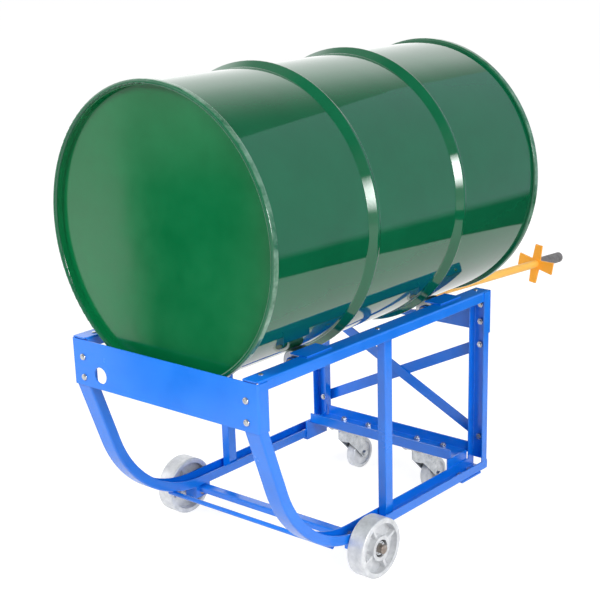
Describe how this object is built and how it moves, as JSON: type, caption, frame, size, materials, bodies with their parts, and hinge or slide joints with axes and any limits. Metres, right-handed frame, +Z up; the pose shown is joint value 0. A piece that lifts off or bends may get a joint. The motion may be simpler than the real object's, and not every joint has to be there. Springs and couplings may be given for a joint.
{
  "type": "rotating drum cart",
  "caption": "Wheeled steel cart that carries a closed steel drum lying on rollers so it can be turned, with fixed front wheels, rear swivel casters and a pull-out bung lever.",
  "frame": {"origin": "on the floor, under the middle of the whole cart", "axes": "+X to the cart's right as seen from the front plate, +Y from the front plate to the lever's grip, +Z up"},
  "size_m": [0.605, 1.5155, 1.0359],
  "materials": {
    "blue_paint": "gloss powder coat",
    "green_enamel": "gloss enamel",
    "orange_paint": "satin paint",
    "grip_rubber": "matte sleeve",
    "zinc_steel": "bright zinc plate",
    "cast_wheel": "as cast, silver grey",
    "bearing_black": "dark greasy ring",
    "axle_steel": "turned bar"
  },
  "bodies": {
    "frame": {"axle_beam": "blue_paint", "axle_block_bolts": "zinc_steel", "axle_blocks": "blue_paint", "axle_washers": "zinc_steel", "brace_bolts": "zinc_steel", "brace_spacers": "blue_paint", "caster_bolts": "zinc_steel", "caster_bracket_bolts": "zinc_steel", "caster_channel": "blue_paint", "caster_kingpins": "zinc_steel", "caster_nuts": "zinc_steel", "caster_plates": "zinc_steel", "cross_rod": "blue_paint", "falling_brace_bar": "blue_paint", "frame_nuts": "zinc_steel", "front_left_roller_bracket": "blue_paint", "front_plate": "blue_paint", "front_plate_bolts": "zinc_steel", "front_right_roller_bracket": "blue_paint", "left_caster_bracket": "blue_paint", "left_leg_rail": "blue_paint", "left_mid_post": "blue_paint", "left_rear_post": "blue_paint", "left_top_rail": "blue_paint", "rail_rivets": "zinc_steel", "rear_left_roller_bracket": "blue_paint", "rear_plate": "blue_paint", "rear_plate_bolts": "zinc_steel", "rear_right_roller_bracket": "blue_paint", "right_caster_bracket": "blue_paint", "right_leg_rail": "blue_paint", "right_mid_post": "blue_paint", "right_rear_post": "blue_paint", "right_top_rail": "blue_paint", "rising_brace_bar": "blue_paint", "roller_pins": "axle_steel", "split_pins": "zinc_steel", "stub_axles": "axle_steel"},
    "drum": {"drum_shell": "green_enamel", "drum_front_head": "green_enamel", "drum_rear_head": "green_enamel", "drum_bung_plugs": "green_enamel"},
    "front_left_roller_body": {"front_left_roller": "axle_steel"},
    "front_right_roller_body": {"front_right_roller": "axle_steel"},
    "rear_left_roller_body": {"rear_left_roller": "axle_steel"},
    "rear_right_roller_body": {"rear_right_roller": "axle_steel"},
    "left_front_wheel_body": {"left_front_wheel": "cast_wheel", "left_wheel_bearing": "bearing_black"},
    "left_caster_swivel_body": {"left_caster_fork": "zinc_steel", "left_caster_axle": "zinc_steel"},
    "left_caster_wheel_body": {"left_caster_wheel": "cast_wheel"},
    "right_front_wheel_body": {"right_front_wheel": "cast_wheel", "right_wheel_bearing": "bearing_black"},
    "right_caster_swivel_body": {"right_caster_fork": "zinc_steel", "right_caster_axle": "zinc_steel"},
    "right_caster_wheel_body": {"right_caster_wheel": "cast_wheel"},
    "lever": {"lever_bar": "orange_paint", "bung_wrench": "orange_paint", "lever_grip": "grip_rubber"}
  },
  "joints": [
    {"name": "drum_spin", "type": "hinge", "parent": "frame", "child": "drum", "pos_m": [0, -0.29846, 0.738], "axis": [0, 1, 0], "continuous": true},
    {"name": "front_left_roller_spin", "type": "hinge", "parent": "frame", "child": "front_left_roller_body", "pos_m": [-0.1715, -0.54146, 0.4776], "axis": [0, 1, 0], "continuous": true},
    {"name": "front_right_roller_spin", "type": "hinge", "parent": "frame", "child": "front_right_roller_body", "pos_m": [0.1715, -0.54146, 0.4776], "axis": [0, 1, 0], "continuous": true},
    {"name": "rear_left_roller_spin", "type": "hinge", "parent": "frame", "child": "rear_left_roller_body", "pos_m": [-0.1715, -0.09646, 0.4776], "axis": [0, 1, 0], "continuous": true},
    {"name": "rear_right_roller_spin", "type": "hinge", "parent": "frame", "child": "rear_right_roller_body", "pos_m": [0.1715, -0.09646, 0.4776], "axis": [0, 1, 0], "continuous": true},
    {"name": "left_front_wheel_roll", "type": "hinge", "parent": "frame", "child": "left_front_wheel_body", "pos_m": [-0.2745, -0.44246, 0.065], "axis": [1, 0, 0], "continuous": true},
    {"name": "left_caster_swivel", "type": "hinge", "parent": "frame", "child": "left_caster_swivel_body", "pos_m": [-0.111, -0.03246, 0.1], "axis": [0, 0, 1], "continuous": true},
    {"name": "left_caster_roll", "type": "hinge", "parent": "left_caster_swivel_body", "child": "left_caster_wheel_body", "pos_m": [-0.111, 0.00254, 0.038], "axis": [1, 0, 0], "continuous": true},
    {"name": "right_front_wheel_roll", "type": "hinge", "parent": "frame", "child": "right_front_wheel_body", "pos_m": [0.2745, -0.44246, 0.065], "axis": [1, 0, 0], "continuous": true},
    {"name": "right_caster_swivel", "type": "hinge", "parent": "frame", "child": "right_caster_swivel_body", "pos_m": [0.111, -0.03246, 0.1], "axis": [0, 0, 1], "continuous": true},
    {"name": "right_caster_roll", "type": "hinge", "parent": "right_caster_swivel_body", "child": "right_caster_wheel_body", "pos_m": [0.111, 0.00254, 0.038], "axis": [1, 0, 0], "continuous": true},
    {"name": "lever_slide", "type": "slide", "parent": "frame", "child": "lever", "axis": [0, 0.9985, -0.0541], "range_m": [0, 0.12]}
  ],
  "couplings": [
    {"joint": "front_left_roller_spin", "follows": "drum_spin", "ratio": -11.46},
    {"joint": "front_right_roller_spin", "follows": "drum_spin", "ratio": -11.46},
    {"joint": "rear_left_roller_spin", "follows": "drum_spin", "ratio": -11.46},
    {"joint": "rear_right_roller_spin", "follows": "drum_spin", "ratio": -11.46}
  ]
}
